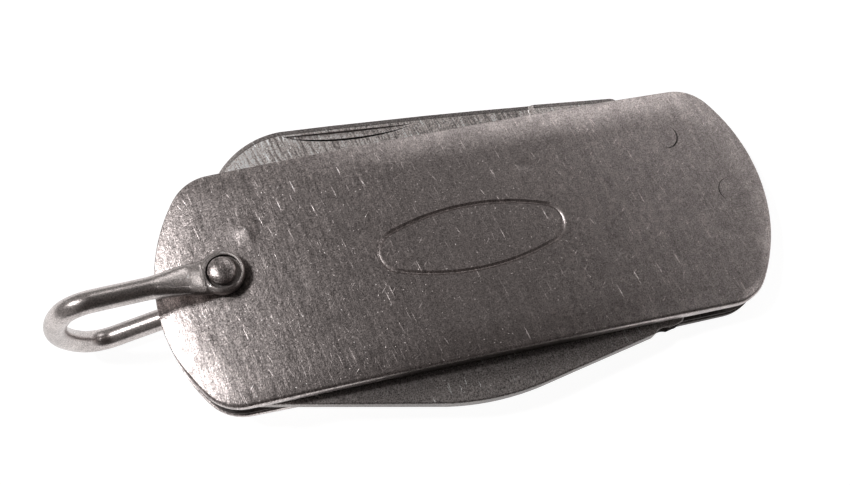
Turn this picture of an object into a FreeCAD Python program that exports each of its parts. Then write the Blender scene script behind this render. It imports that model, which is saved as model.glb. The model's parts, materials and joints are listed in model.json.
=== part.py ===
import FreeCAD, Part
import math
import os
import Sketcher

# A two-blade all-steel pocket knife with arched scales, a centre spring and a wire bail.
# Millimetres. X runs along the handle away from the bail, Y across it, Z out of the front
# scale. The origin is the middle of the back scale's flat land.

doc = FreeCAD.newDocument("pocket_knife")
sheet = doc.addObject("Spreadsheet::Sheet", "sizes")

HANDLE = {
    "handle_length": 60.0,
    "handle_width": 22.76,
    "handle_thickness": 6.6,
    "end_radius": 16.5,
    "corner_radius": 4.33,
    "land_length": 10.0,
    "end_wall": 0.6,
    "scale_sheet": 0.9,
    "rim_wall": 1.0,
    "arris_radius": 0.4,
    "liner_sheet": 0.4,
    "liner_inset": 0.15,
    "oval_length": 18.0,
    "oval_width": 6.4,
    "oval_end_radius": 2.0,
    "oval_groove_width": 0.4,
    "oval_groove_depth": 0.16,
}
SPRING = {
    "spring_thickness": 2.0,
    "spring_inset": 0.3,
    "spring_head_depth": 4.1,
    "spring_stem_end": 19.5,
    "spring_stem_half": 3.6,
    "spring_stem_taper": 3.0,
    "spring_slot_gap": 4.0,
    "spring_slot_half": 0.85,
    "spring_tip_gap": 1.85,
    "spring_rivet_reach": 15.0,
    "spring_rivet_diameter": 1.6,
    "spring_rivet_head": 2.6,
    "spring_rivet_head_height": 0.35,
}
PINS = {
    "pivot_end_gap": 8.6,
    "pivot_offset": 6.6,
    "pivot_diameter": 2.5,
    "end_rivet_gap": 3.5,
    "end_rivet_diameter": 2.5,
    "bail_pin_gap": 6.47,
    "bail_pin_offset": 1.15,
    "bail_pin_diameter": 1.8,
    "bail_head_diameter": 2.6,
    "bail_head_height": 0.85,
    "pin_clearance": 0.02,
    "running_clearance": 0.04,
    "stop_clearance": 0.12,
    "side_clearance": 0.05,
    "cut_overrun": 2.0,
}
TANG = {
    "tang_flat": 3.8,
    "tang_corner": 3.0,
    "tang_clearance": 0.03,
    "tang_shoulder": 2.8,
    "tang_shoulder_radius": 1.0,
    "tang_kick": 6.0,
    "spine_thickness": 1.6,
    "edge_thickness": 0.3,
    "nick_width": 1.0,
    "nick_depth": 0.36,
}
PEN_BLADE = {
    "pen_open_angle": 170.0,
    "pen_tip_gap": 6.8,
    "pen_tip_height": 3.4,
    "pen_point_radius": 8.2,
    "pen_hump_run": 7.6,
    "pen_hump_height": 8.68,
    "pen_back_radius": 590.0,
    "pen_back_step": 2.05,
    "pen_edge_depth": 2.2,
    "pen_heel": 8.6,
    "pen_belly_run": 11.6,
    "pen_belly_radius": 15.0,
    "pen_plunge": 11.6,
    "pen_nick_run": 14.3,
    "pen_nick_drop": 0.56,
    "pen_nick_cutter_radius": 60.0,
}
LOWER_BLADE = {
    "lower_open_angle": 180.0,
    "lower_tip_gap": 5.2,
    "lower_tip_height": 3.3,
    "lower_point_radius": 1.6,
    "lower_point_run": 1.4,
    "lower_back_slope_end": 4.22,
    "lower_hump_share": 0.485,
    "lower_hump_half": 4.6,
    "lower_hump_height": 8.0,
    "lower_hump_radius": 26.0,
    "lower_back_step": 1.4,
    "lower_edge_depth": 2.2,
    "lower_heel": 8.6,
    "lower_belly_run": 11.2,
    "lower_belly_radius": 16.0,
    "lower_plunge": 8.2,
    "lower_nick_run": 5.4,
    "lower_nick_drop": 0.5,
    "lower_nick_cutter_radius": 9.0,
}
BAIL = {
    "bail_wire": 2.1,
    "bail_reach": 15.93,
    "bail_end_radius": 9.0,
    "bail_corner_radius": 2.9,
    "bail_bow_half": 6.05,
    "bail_bow_reach": 11.6,
    "bail_arm_half": 3.6,
    "bail_arm_start": 6.4,
    "bail_swing": 5.6,
    "eye_diameter": 4.1,
    "eye_thickness": 1.3,
    "eye_lift": 0.07,
    "eye_recess_clearance": 0.175,
    "eye_recess_depth": 0.25,
    "paddle_start": 1.6,
    "paddle_width": 3.0,
    "paddle_thickness": 1.2,
    "paddle_end_radius": 0.4,
    "paddle_overlap": 0.5,
    "paddle_skin": 0.03,
}

FULL_TURN = 360.0
HALF_TURN = 180.0
HALF_SHARE = 0.5


def fill_sheet():
    """Writes every size to a cell of the sheet, with the size's name as the cell's alias."""
    row = 1
    for group in (HANDLE, SPRING, PINS, TANG, PEN_BLADE, LOWER_BLADE, BAIL):
        for alias, number in group.items():
            sheet.set(f"A{row}", alias)
            sheet.set(f"B{row}", str(number))
            sheet.setAlias(f"B{row}", alias)
            row += 1
    doc.recompute()


class Size:
    """A number from the sheet, or one worked out from such numbers, with its expression."""

    def __init__(self, value, text):
        self.value = value
        self.text = text

    def __add__(self, other):
        other = as_size(other)
        return Size(self.value + other.value, f"({self.text} + {other.text})")

    def __sub__(self, other):
        other = as_size(other)
        return Size(self.value - other.value, f"({self.text} - {other.text})")

    def __mul__(self, other):
        other = as_size(other)
        return Size(self.value * other.value, f"({self.text} * {other.text})")

    def __truediv__(self, other):
        other = as_size(other)
        return Size(self.value / other.value, f"({self.text} / {other.text})")

    def __neg__(self):
        return Size(-self.value, f"(0 - {self.text})")

    def __rsub__(self, other):
        return as_size(other) - self

    __radd__ = __add__
    __rmul__ = __mul__


def as_size(number):
    """A plain number as a Size, so that both can stand in one sum."""
    if isinstance(number, Size):
        return number
    return Size(float(number), repr(float(number)))


def root(square):
    return Size(math.sqrt(square.value), f"sqrt({square.text})")


def cosine(degrees):
    return Size(math.cos(math.radians(degrees.value)), f"cos({degrees.text} * 1 deg)")


def sine(degrees):
    return Size(math.sin(math.radians(degrees.value)), f"sin({degrees.text} * 1 deg)")


def slope_angle(slope):
    return Size(math.degrees(math.atan(slope.value)), f"(atan({slope.text}) / 1 deg)")


def size(alias):
    """A driving size, read from the sheet."""
    return Size(float(sheet.get(alias)), f"sizes.{alias}")


def bind(item, prop, number):
    """Ties a property to the expression behind a size."""
    item.setExpression(prop, as_size(number).text)


# Bodies, sketches and features

def new_body(label):
    body = doc.addObject("PartDesign::Body", label)
    body.Label = label
    return body


def origin_plane(body, role):
    for feature in body.Origin.OriginFeatures:
        if feature.Role == role:
            return feature
    raise ValueError(f"no origin plane {role}")


def new_sketch(body, name, role="XY_Plane", lift=None):
    """A sketch on an origin plane of the body, lifted along the plane's normal."""
    sketch = body.newObject("Sketcher::SketchObject", f"{body.Label}_{name}")
    sketch.AttachmentSupport = [(origin_plane(body, role), "")]
    sketch.MapMode = "FlatFace"
    if lift is not None:
        bind(sketch, "AttachmentOffset.Base.z", lift)
    return sketch


def fix(sketch, kind, places, number):
    """Adds one dimension to a sketch and ties it to its expression."""
    number = as_size(number)
    index = sketch.addConstraint(Sketcher.Constraint(kind, *places, number.value))
    bind(sketch, f"Constraints[{index}]", number)


def fix_point(sketch, piece, end, x, y):
    origin = (-1, 1)
    fix(sketch, "DistanceX", (*origin, piece, end), x)
    fix(sketch, "DistanceY", (*origin, piece, end), y)


def arc_between(first, last, bend):
    """An arc of radius bend, turning left from first to last if bend is positive."""
    radius = abs(bend)
    middle = (first + last) * HALF_SHARE
    chord = last - first
    rise = math.sqrt(radius ** 2 - (chord.Length * HALF_SHARE) ** 2)
    left = FreeCAD.Vector(-chord.y, chord.x, 0).normalize()
    centre = middle + left * math.copysign(rise, bend)
    if bend < 0:
        first, last = last, first
    start = math.atan2(first.y - centre.y, first.x - centre.x)
    end = math.atan2(last.y - centre.y, last.x - centre.x)
    circle = Part.Circle(centre, FreeCAD.Vector(0, 0, 1), radius)
    return Part.ArcOfCircle(circle, start, end)


def draw(sketch, corners, closed=True):
    """Draws an outline through corners (x, y), or (x, y, bend) before a round stretch."""
    points = [FreeCAD.Vector(as_size(c[0]).value, as_size(c[1]).value, 0) for c in corners]
    count = len(corners) if closed else len(corners) - 1
    ends = []
    for step in range(count):
        first = points[step]
        last = points[(step + 1) % len(points)]
        if len(corners[step]) == 2:
            piece = sketch.addGeometry(Part.LineSegment(first, last))
            ends.append((piece, 1, 2))
            continue
        bend = corners[step][2]
        piece = sketch.addGeometry(arc_between(first, last, bend.value))
        turns_left = bend.value > 0
        ends.append((piece, 1, 2) if turns_left else (piece, 2, 1))
        fix(sketch, "Radius", (piece,), bend if turns_left else -bend)
    for step in range(count):
        piece, start, end = ends[step]
        fix_point(sketch, piece, start, corners[step][0], corners[step][1])
        if step + 1 < count or closed:
            following = ends[(step + 1) % count]
            sketch.addConstraint(Sketcher.Constraint("Coincident", piece, end, following[0], following[1]))
        else:
            fix_point(sketch, piece, end, corners[-1][0], corners[-1][1])


def draw_circle(sketch, x, y, radius):
    centre = FreeCAD.Vector(as_size(x).value, as_size(y).value, 0)
    piece = sketch.addGeometry(Part.Circle(centre, FreeCAD.Vector(0, 0, 1), radius.value))
    fix_point(sketch, piece, 3, x, y)
    fix(sketch, "Radius", (piece,), radius)


def pad(body, sketch, length, symmetric=True):
    feature = body.newObject("PartDesign::Pad", f"{sketch.Name}_pad")
    feature.Profile = sketch
    feature.SideType = "Symmetric" if symmetric else "One side"
    bind(feature, "Length", length)
    doc.recompute()
    return feature


def pocket(body, sketch, length=None, side="Symmetric"):
    """Cuts a sketch out of the body, right through it if no length is given."""
    before = body.Shape.Volume
    feature = body.newObject("PartDesign::Pocket", f"{sketch.Name}_cut")
    feature.Profile = sketch
    feature.SideType = side
    feature.Type = "ThroughAll" if length is None else "Length"
    if length is not None:
        bind(feature, "Length", length)
    doc.recompute()
    if not body.Shape.Volume < before:
        raise ValueError(f"{feature.Name} cuts nothing")
    return feature


def place(item, x=0, y=0, z=0, flipped=False):
    """Puts a finished piece in its place, turned face down about X if flipped."""
    if flipped:
        face_down = FreeCAD.Rotation(FreeCAD.Vector(1, 0, 0), HALF_TURN)
        item.Placement = FreeCAD.Placement(FreeCAD.Vector(), face_down)
    for axis, number in zip("xyz", (x, y, z)):
        bind(item, f"Placement.Base.{axis}", number)


fill_sheet()

# Sizes that several pieces share

half_length = size("handle_length") / 2
half_width = size("handle_width") / 2
middle = size("handle_thickness") / 2
land = size("land_length") / 2
layer = size("spring_thickness") / 2
seat = layer + size("liner_sheet")
end_height = seat + size("end_wall")
end_drop = middle - end_height
arch_run = half_length - land
arch_radius = (arch_run * arch_run + end_drop * end_drop) / (2 * end_drop)
overrun = size("cut_overrun")
pivot_x = half_length - size("pivot_end_gap")
pivot_y = size("pivot_offset")
end_rivet_x = half_length - size("end_rivet_gap")
bail_x = size("bail_pin_gap") - half_length
bail_y = size("bail_pin_offset")
wire_radius = size("bail_wire") / 2


def scale_height(x):
    """Height of a scale's outer face over the knife's middle plane, this far from its centre."""
    run = x - land
    return middle - arch_radius + root(arch_radius * arch_radius - run * run)


def outline_points(inset):
    """Tangent points and radii of one quarter of the handle's outline, drawn in by inset."""
    end = size("end_radius") - inset
    corner = size("corner_radius") - inset
    end_centre = half_length - size("end_radius")
    corner_y = half_width - size("corner_radius")
    gap = size("end_radius") - size("corner_radius")
    corner_run = root(gap * gap - corner_y * corner_y)
    corner_x = end_centre + corner_run
    return {
        "end": end,
        "corner": corner,
        "corner_x": corner_x,
        "corner_y": corner_y,
        "side_y": half_width - inset,
        "meet_x": end_centre + end * corner_run / gap,
        "meet_y": end * corner_y / gap,
    }


def handle_outline(inset=0):
    """The handle's outline: straight sides, bowed ends and round corners."""
    q = outline_points(as_size(inset))
    x, y = q["meet_x"], q["meet_y"]
    return [
        (x, -y, q["end"]),
        (x, y, q["corner"]),
        (q["corner_x"], q["side_y"]),
        (-q["corner_x"], q["side_y"], q["corner"]),
        (-x, y, q["end"]),
        (-x, -y, q["corner"]),
        (-q["corner_x"], -q["side_y"]),
        (q["corner_x"], -q["side_y"], q["corner"]),
    ]


def oval(half_x, half_y, end_radius, shift=0):
    """A four-arc oval, with its middle at this height."""
    run = half_x - end_radius
    side_radius = (run * run + half_y * half_y - end_radius * end_radius) / (2 * (half_y - end_radius))
    gap = side_radius - end_radius
    x = run + end_radius * run / gap
    y = end_radius * (side_radius - half_y) / gap
    return [
        (x, shift - y, end_radius),
        (x, shift + y, side_radius),
        (-x, shift + y, end_radius),
        (-x, shift - y, side_radius),
    ]


def draw_pin_holes(sketch, side, clearance):
    """The holes of the pins that hold the scales and liners together."""
    pivot = size("pivot_diameter") / 2 + clearance
    draw_circle(sketch, pivot_x, pivot_y, pivot)
    draw_circle(sketch, pivot_x, -pivot_y, pivot)
    draw_circle(sketch, end_rivet_x, 0, size("end_rivet_diameter") / 2 + clearance)
    draw_circle(sketch, bail_x, side * bail_y, size("bail_pin_diameter") / 2 + clearance)


# Scales

def top_edges(shape):
    """Names of the edges where the walls meet the arched face."""
    names = []
    for number, edge in enumerate(shape.Edges, start=1):
        spot = edge.valueAt((edge.FirstParameter + edge.LastParameter) * HALF_SHARE)
        rises = []
        for face in shape.ancestorsOfType(edge, Part.Face):
            u, v = face.Surface.parameter(spot)
            rises.append(face.normalAt(u, v).z)
        if min(map(abs, rises)) < HALF_SHARE < max(rises):
            names.append(f"Edge{number}")
    return names


def make_scale(label, side):
    """A pressed scale: arched along its length, hollow under its sheet, with a flat rim."""
    body = new_body(label)
    profile = new_sketch(body, "profile", "XZ_Plane")
    draw(profile, [
        (-half_length, seat),
        (half_length, seat),
        (half_length, end_height, arch_radius),
        (land, middle),
        (-land, middle, arch_radius),
        (-half_length, end_height),
    ])
    pad(body, profile, size("handle_width"))

    trim = new_sketch(body, "trim")
    far_x = half_length + overrun
    far_y = half_width + overrun
    draw(trim, [(-far_x, -far_y), (far_x, -far_y), (far_x, far_y), (-far_x, far_y)])
    draw(trim, handle_outline())
    trimmed = pocket(body, trim)

    arris = body.newObject("PartDesign::Fillet", f"{label}_arris")
    arris.Base = (trimmed, top_edges(trimmed.Shape))
    bind(arris, "Radius", size("arris_radius"))
    doc.recompute()

    inner_radius = arch_radius - size("scale_sheet")
    ceiling = middle - size("scale_sheet")
    floor = seat - size("liner_sheet")
    fall = floor - middle + arch_radius
    inner_x = land + root(inner_radius * inner_radius - fall * fall)
    hollow = new_sketch(body, "hollow", "XZ_Plane")
    draw(hollow, [
        (-inner_x, floor),
        (inner_x, floor, inner_radius),
        (land, ceiling),
        (-land, ceiling, inner_radius),
    ])
    pocket(body, hollow, size("handle_width") - 2 * size("rim_wall"))

    holes = new_sketch(body, "holes")
    draw_pin_holes(holes, side, size("pin_clearance"))
    pocket(body, holes)
    return body


def make_front_scale():
    """The front scale, with a plain stamped oval where an owner's initials could go."""
    body = make_scale("front_scale", 1)
    stamp = new_sketch(body, "stamp", lift=middle)
    long_half = size("oval_length") / 2
    short_half = size("oval_width") / 2
    groove = size("oval_groove_width")
    draw(stamp, oval(long_half, short_half, size("oval_end_radius")))
    draw(stamp, oval(long_half - groove, short_half - groove, size("oval_end_radius") - groove))
    pocket(body, stamp, size("oval_groove_depth"), "One side")
    place(body, z=middle)


def make_back_scale():
    body = make_scale("back_scale", -1)
    place(body, z=middle, flipped=True)


# Liners

def make_liner(label, side):
    """A flat liner that the scale's rim sits on."""
    body = new_body(label)
    sheet_sketch = new_sketch(body, "sheet", lift=layer)
    draw(sheet_sketch, handle_outline(size("liner_inset")))
    draw_pin_holes(sheet_sketch, side, size("pin_clearance"))
    rivet_hole = size("spring_rivet_diameter") / 2 + size("pin_clearance")
    draw_circle(sheet_sketch, -size("spring_rivet_reach"), 0, rivet_hole)
    pad(body, sheet_sketch, size("liner_sheet"), symmetric=False)
    place(body, z=middle, flipped=side < 0)


# Centre spring

def make_spring():
    """The spring: a head that fills the bail end, a bar, and a fork that presses both tangs."""
    body = new_body("centre_spring")
    plate = new_sketch(body, "plate")
    draw(plate, handle_outline(size("spring_inset")))
    draw_circle(plate, bail_x, bail_y, size("bail_pin_diameter") / 2 + size("pin_clearance"))
    rivet_hole = size("spring_rivet_diameter") / 2 + size("pin_clearance")
    draw_circle(plate, -size("spring_rivet_reach"), 0, rivet_hole)
    pad(body, plate, size("spring_thickness"))

    edge = size("spring_head_depth") - half_length
    arm = pivot_y - size("tang_flat") - size("tang_clearance")
    slot = size("spring_slot_half")
    slot_x = size("spring_slot_gap") - size("spring_rivet_reach")
    tip = end_rivet_x - size("end_rivet_diameter") / 2 - size("spring_tip_gap")
    stem = size("spring_stem_half")
    stem_x = -size("spring_stem_end")
    bar_x = stem_x + size("spring_stem_taper")
    far_x = half_length + overrun
    far_y = half_width + overrun
    sides = new_sketch(body, "sides")
    draw(sides, [
        (edge, far_y),
        (edge, stem),
        (stem_x, stem),
        (bar_x, arm),
        (tip, arm),
        (tip, slot),
        (slot_x, slot, slot),
        (slot_x - slot, 0, slot),
        (slot_x, -slot),
        (tip, -slot),
        (tip, -arm),
        (bar_x, -arm),
        (stem_x, -stem),
        (edge, -stem),
        (edge, -far_y),
        (far_x, -far_y),
        (far_x, far_y),
    ])
    pocket(body, sides)
    place(body, z=middle)


# Blades. Each lies along -X from its pivot, with its back towards +Y.

def blade_length(family):
    return half_length + pivot_x - size(f"{family}_tip_gap")


def tang_corners(family):
    """The tang, from its shoulder round to the kick. The spring lies on its first flat when open."""
    flat = size("tang_flat")
    back_height = flat + size(f"{family}_back_step")
    open_angle = size(f"{family}_open_angle")
    straight = flat - size("tang_corner")
    shoulder = -size("tang_shoulder")
    rounding = size("tang_shoulder_radius")
    lean = sine(open_angle) / cosine(open_angle)
    flat_height = -flat / cosine(open_angle)
    return [
        (shoulder - rounding, back_height, -rounding),
        (shoulder, back_height - rounding),
        (shoulder, flat_height + lean * shoulder),
        (straight, flat_height + lean * straight, -size("tang_corner")),
        (flat, straight),
        (flat, -straight, -size("tang_corner")),
        (straight, -flat),
        (-size("tang_kick"), -flat),
    ]


def pen_corners():
    """The upper blade: a pen point on a back that bows gently up to its hump."""
    depth = -size("pen_edge_depth")
    tip_x = -blade_length("pen")
    return tang_corners("pen") + [
        (-size("pen_heel"), depth),
        (tip_x + size("pen_belly_run"), depth, -size("pen_belly_radius")),
        (tip_x, size("pen_tip_height"), -size("pen_point_radius")),
        (tip_x + size("pen_hump_run"), size("pen_hump_height"), -size("pen_back_radius")),
    ]


def lower_corners():
    """The lower blade: a back of two straight runs that meet in a round hump."""
    depth = -size("lower_edge_depth")
    tip_x = -blade_length("lower")
    hump_x = tip_x * size("lower_hump_share")
    hump_half = size("lower_hump_half")
    hump_height = size("lower_hump_height")
    return tang_corners("lower") + [
        (-size("lower_heel"), depth),
        (tip_x + size("lower_belly_run"), depth, -size("lower_belly_radius")),
        (tip_x, size("lower_tip_height"), -size("lower_point_radius")),
        (tip_x + size("lower_point_run"), size("lower_back_slope_end")),
        (hump_x - hump_half, hump_height, -size("lower_hump_radius")),
        (hump_x + hump_half, hump_height),
    ]


def make_blade(label, family, corners, back, face, side):
    """A blade with flat-ground faces, a nail nick along its back, and room for the stop rivet."""
    body = new_body(label)
    tang_half = layer - size("side_clearance")
    plan = new_sketch(body, "plan")
    draw(plan, corners)
    pad(body, plan, tang_half * 2)

    holes = new_sketch(body, "holes")
    draw_circle(holes, 0, 0, size("pivot_diameter") / 2 + size("running_clearance"))
    stop_radius = size("end_rivet_diameter") / 2 + size("stop_clearance")
    stop_run = end_rivet_x - pivot_x
    open_cosine = cosine(size(f"{family}_open_angle"))
    open_sine = sine(size(f"{family}_open_angle"))
    stop_x = open_cosine * stop_run + open_sine * pivot_y
    stop_y = open_sine * stop_run - open_cosine * pivot_y
    draw_circle(holes, stop_x, stop_y, stop_radius)
    pocket(body, holes)

    spine = size("spine_thickness") / 2
    edge = size("edge_thickness") / 2
    low = -size(f"{family}_edge_depth")
    top = size(f"{family}_hump_height")
    plunge = -size(f"{family}_plunge")
    slope = (spine - edge) / (top - low)
    limit = tang_half + overrun
    profile = [
        (low - overrun, edge - slope * overrun),
        (top + overrun, spine + slope * overrun),
        (top + overrun, limit),
        (low - overrun, limit),
    ]
    for name, facing in (("grind_front", 1), ("grind_back", -1)):
        grind = new_sketch(body, name, "YZ_Plane", plunge)
        draw(grind, [(y, facing * z) for y, z in profile])
        pocket(body, grind, side="One side")

    far, near = back
    back_slope = (near[1] - far[1]) / (near[0] - far[0])
    nick_x = size(f"{family}_nick_run") - blade_length(family)
    nick_y = far[1] + back_slope * (nick_x - far[0]) - size(f"{family}_nick_drop")
    face_height = edge + slope * (nick_y - low)
    cutter = size(f"{family}_nick_cutter_radius")
    depth = size("nick_depth")
    along_back = -face * slope_angle(back_slope)
    nick = body.newObject("PartDesign::SubtractiveCone", f"{label}_nick")
    nick.AttachmentSupport = [(origin_plane(body, "XZ_Plane"), "")]
    nick.MapMode = "FlatFace"
    nick.AttachmentOffset = FreeCAD.Placement(
        FreeCAD.Vector(), FreeCAD.Rotation(FreeCAD.Vector(0, -face, 0), along_back.value)
    )
    bind(nick, "AttachmentOffset.Rotation.Angle", along_back)
    bind(nick, "AttachmentOffset.Base.x", nick_x)
    bind(nick, "AttachmentOffset.Base.y", face * (face_height - depth + cutter))
    bind(nick, "AttachmentOffset.Base.z", -nick_y)
    bind(nick, "Radius1", cutter)
    bind(nick, "Radius2", cutter - 2 * depth)
    bind(nick, "Height", 2 * size("nick_width"))
    doc.recompute()
    place(body, pivot_x, side * pivot_y, middle, flipped=side < 0)


# Pins and rivets

def make_flush_pin(label, x, y, diameter):
    """A plain pin, cut off level with the scales."""
    pin = doc.addObject("Part::Cylinder", label)
    pin.Label = label
    height = scale_height(x)
    bind(pin, "Radius", diameter / 2)
    bind(pin, "Height", height * 2)
    place(pin, x, y, middle - height)


def make_rivet(label, x, y, shank, head, head_height, grip):
    """A rivet with a domed head at each end, gripping this far each side of the middle."""
    body = new_body(label)
    half = new_sketch(body, "half", "XZ_Plane")
    crown = grip + head_height
    head_radius = head / 2
    dome = (head_radius * head_radius + head_height * head_height) / (2 * head_height)
    draw(half, [
        (0, -crown, dome),
        (head_radius, -grip),
        (shank / 2, -grip),
        (shank / 2, grip),
        (head_radius, grip, dome),
        (0, crown),
    ])
    turned = body.newObject("PartDesign::Revolution", f"{label}_turned")
    turned.Profile = half
    turned.ReferenceAxis = (half, ["V_Axis"])
    turned.Angle = FULL_TURN
    doc.recompute()
    place(body, x, y, middle)


# Bail

eye_foot = scale_height(-bail_x - size("eye_diameter") / 2) + size("eye_lift")
eye_top = eye_foot + size("eye_thickness")
recess_radius = size("bail_head_diameter") / 2 + size("eye_recess_clearance")


def bail_path():
    """Half of the bail's centre line: from the middle of its end, round a corner, along an arm."""
    reach = size("bail_reach")
    end = size("bail_end_radius")
    corner = size("bail_corner_radius")
    spread = (size("bail_bow_half") - size("bail_arm_half")) / size("bail_bow_reach")
    tilt = root(1 + spread * spread)
    end_centre = reach - end
    gap = end - corner
    # The corner's centre lies a corner radius inside the arm's line, and gap from the end's centre.
    offset = size("bail_arm_half") - corner * tilt
    square = 1 + spread * spread
    cross = spread * offset - end_centre
    rest = end_centre * end_centre + offset * offset - gap * gap
    corner_x = (root(cross * cross - square * rest) - cross) / square
    corner_z = offset + spread * corner_x
    meet_x = end_centre + (corner_x - end_centre) * end / gap
    meet_z = corner_z * end / gap
    arm_x = corner_x - corner * spread / tilt
    arm_z = corner_z + corner / tilt
    start = size("bail_arm_start")
    return [
        (-reach, 0, -end),
        (-meet_x, meet_z, -corner),
        (-arm_x, arm_z),
        (-start, size("bail_arm_half") + spread * start),
    ]


def round_section(radius, shift):
    """A circle as four arcs, so that it matches the corners of an oval."""
    x = radius * root(as_size(HALF_SHARE))
    return [(x, shift - x, radius), (x, shift + x, radius), (-x, shift + x, radius), (-x, shift - x, radius)]


def make_bail():
    """The bail: a bowed wire whose two arms flatten into eyes that turn on the bail rivet."""
    body = new_body("bail")
    path = new_sketch(body, "path", "XZ_Plane")
    corners = bail_path()
    draw(path, corners, closed=False)
    section = new_sketch(body, "section")
    draw_circle(section, -size("bail_reach"), 0, wire_radius)
    wire = body.newObject("PartDesign::AdditivePipe", "bail_wire")
    wire.Profile = section
    wire.Spine = (path, [])
    doc.recompute()

    eye = new_sketch(body, "eye", lift=eye_foot)
    draw_circle(eye, 0, 0, size("eye_diameter") / 2)
    disc = pad(body, eye, size("eye_thickness"), symmetric=False)

    spread = (size("bail_bow_half") - size("bail_arm_half")) / size("bail_bow_reach")
    flat_end = new_sketch(body, "paddle_flat", "YZ_Plane", -size("paddle_start"))
    flat_middle = eye_foot + size("eye_thickness") / 2
    draw(flat_end, oval(size("paddle_width") / 2, size("paddle_thickness") / 2,
                        size("paddle_end_radius"), flat_middle))
    round_x = size("bail_arm_start") + size("paddle_overlap")
    round_end = new_sketch(body, "paddle_round", "YZ_Plane", -round_x)
    round_height = size("bail_arm_half") + spread * round_x
    draw(round_end, round_section(wire_radius - size("paddle_skin"), round_height))
    paddle = body.newObject("PartDesign::AdditiveLoft", "bail_paddle")
    paddle.Profile = flat_end
    paddle.Sections = [round_end]
    paddle.Ruled = True
    doc.recompute()

    recess = new_sketch(body, "recess", lift=eye_top)
    draw_circle(recess, 0, 0, recess_radius)
    pocket(body, recess, size("eye_recess_depth"), "One side")

    mirror = body.newObject("PartDesign::Mirrored", "bail_mirror")
    mirror.Originals = [wire, disc, paddle, body.Tip]
    mirror.MirrorPlane = (origin_plane(body, "XY_Plane"), [""])
    body.Tip = mirror
    doc.recompute()

    bore = new_sketch(body, "bore")
    draw_circle(bore, 0, 0, size("bail_pin_diameter") / 2 + size("running_clearance"))
    pocket(body, bore)
    body.Placement = FreeCAD.Placement(
        FreeCAD.Vector(), FreeCAD.Rotation(FreeCAD.Vector(0, 0, 1), size("bail_swing").value)
    )
    bind(body, "Placement.Rotation.Angle", size("bail_swing"))
    place(body, bail_x, bail_y, middle)


def make_all():
    make_front_scale()
    make_back_scale()
    make_liner("front_liner", 1)
    make_liner("back_liner", -1)
    make_spring()
    pen = pen_corners()
    make_blade("pen_blade", "pen", pen, (pen[-1], pen[0]), 1, 1)
    lower = lower_corners()
    make_blade("lower_blade", "lower", lower, (lower[-3], lower[-2]), -1, -1)
    make_flush_pin("upper_pivot_pin", pivot_x, pivot_y, size("pivot_diameter"))
    make_flush_pin("lower_pivot_pin", pivot_x, -pivot_y, size("pivot_diameter"))
    make_flush_pin("end_rivet", end_rivet_x, as_size(0), size("end_rivet_diameter"))
    make_rivet("spring_rivet", -size("spring_rivet_reach"), as_size(0), size("spring_rivet_diameter"),
               size("spring_rivet_head"), size("spring_rivet_head_height"), seat)
    make_bail()
    head_seat = eye_top - size("eye_recess_depth") + size("pin_clearance")
    make_rivet("bail_rivet", bail_x, bail_y, size("bail_pin_diameter"), size("bail_head_diameter"),
               size("bail_head_height"), head_seat)
    doc.recompute()


NODES = (
    "front_scale", "back_scale", "front_liner", "back_liner", "centre_spring", "pen_blade", "lower_blade",
    "upper_pivot_pin", "lower_pivot_pin", "end_rivet", "spring_rivet", "bail", "bail_rivet",
)


def write_all():
    """Checks every object, then writes each piece to its own file."""
    for item in doc.Objects:
        if "Invalid" in item.State or "Error" in item.State:
            raise ValueError(f"{item.Name} failed: {item.State}")
    for label in NODES:
        shape = doc.getObjectsByLabel(label)[0].Shape
        if shape.isNull() or not shape.isValid() or len(shape.Solids) != 1:
            raise ValueError(f"{label} is not one valid solid")
    os.makedirs("parts", exist_ok=True)
    for label in NODES:
        shape = doc.getObjectsByLabel(label)[0].Shape
        shape.exportStep(f"parts/{label}.step")
        box = shape.BoundBox
        print(f"{label}: volume {shape.Volume:.2f}, x {box.XMin:.2f} to {box.XMax:.2f}, "
              f"y {box.YMin:.2f} to {box.YMax:.2f}, z {box.ZMin:.2f} to {box.ZMax:.2f}")


make_all()
write_all()
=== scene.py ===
import json
import math

import bmesh
import bpy
import numpy as np
from mathutils import Matrix, Vector


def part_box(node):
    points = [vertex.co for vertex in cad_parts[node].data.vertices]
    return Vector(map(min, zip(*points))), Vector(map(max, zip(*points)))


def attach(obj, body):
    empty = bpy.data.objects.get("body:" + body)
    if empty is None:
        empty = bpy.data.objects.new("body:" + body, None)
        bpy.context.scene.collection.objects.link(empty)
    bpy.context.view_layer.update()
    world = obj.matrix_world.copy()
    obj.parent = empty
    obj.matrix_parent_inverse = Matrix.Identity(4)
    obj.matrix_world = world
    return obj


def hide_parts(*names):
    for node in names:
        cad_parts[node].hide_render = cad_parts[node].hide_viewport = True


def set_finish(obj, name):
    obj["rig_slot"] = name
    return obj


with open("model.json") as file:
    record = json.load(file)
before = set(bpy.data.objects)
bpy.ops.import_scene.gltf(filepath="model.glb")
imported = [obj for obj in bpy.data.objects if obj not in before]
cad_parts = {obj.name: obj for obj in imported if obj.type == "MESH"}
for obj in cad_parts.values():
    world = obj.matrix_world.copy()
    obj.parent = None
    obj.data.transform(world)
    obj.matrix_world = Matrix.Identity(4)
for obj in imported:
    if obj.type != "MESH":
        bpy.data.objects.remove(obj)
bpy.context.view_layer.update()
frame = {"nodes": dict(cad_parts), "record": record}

# A small all-steel pocket knife, closed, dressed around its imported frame.
# Sizes are millimetres in the frame's axes, and meshes are made in metres.

MM = 0.001


def box_mm(node):
    """Lowest and highest corner of a node, in millimetres."""
    low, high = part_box(node)
    return np.array(low) / MM, np.array(high) / MM


# Sizes of the handle, read from the frame where the frame shows them

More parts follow.
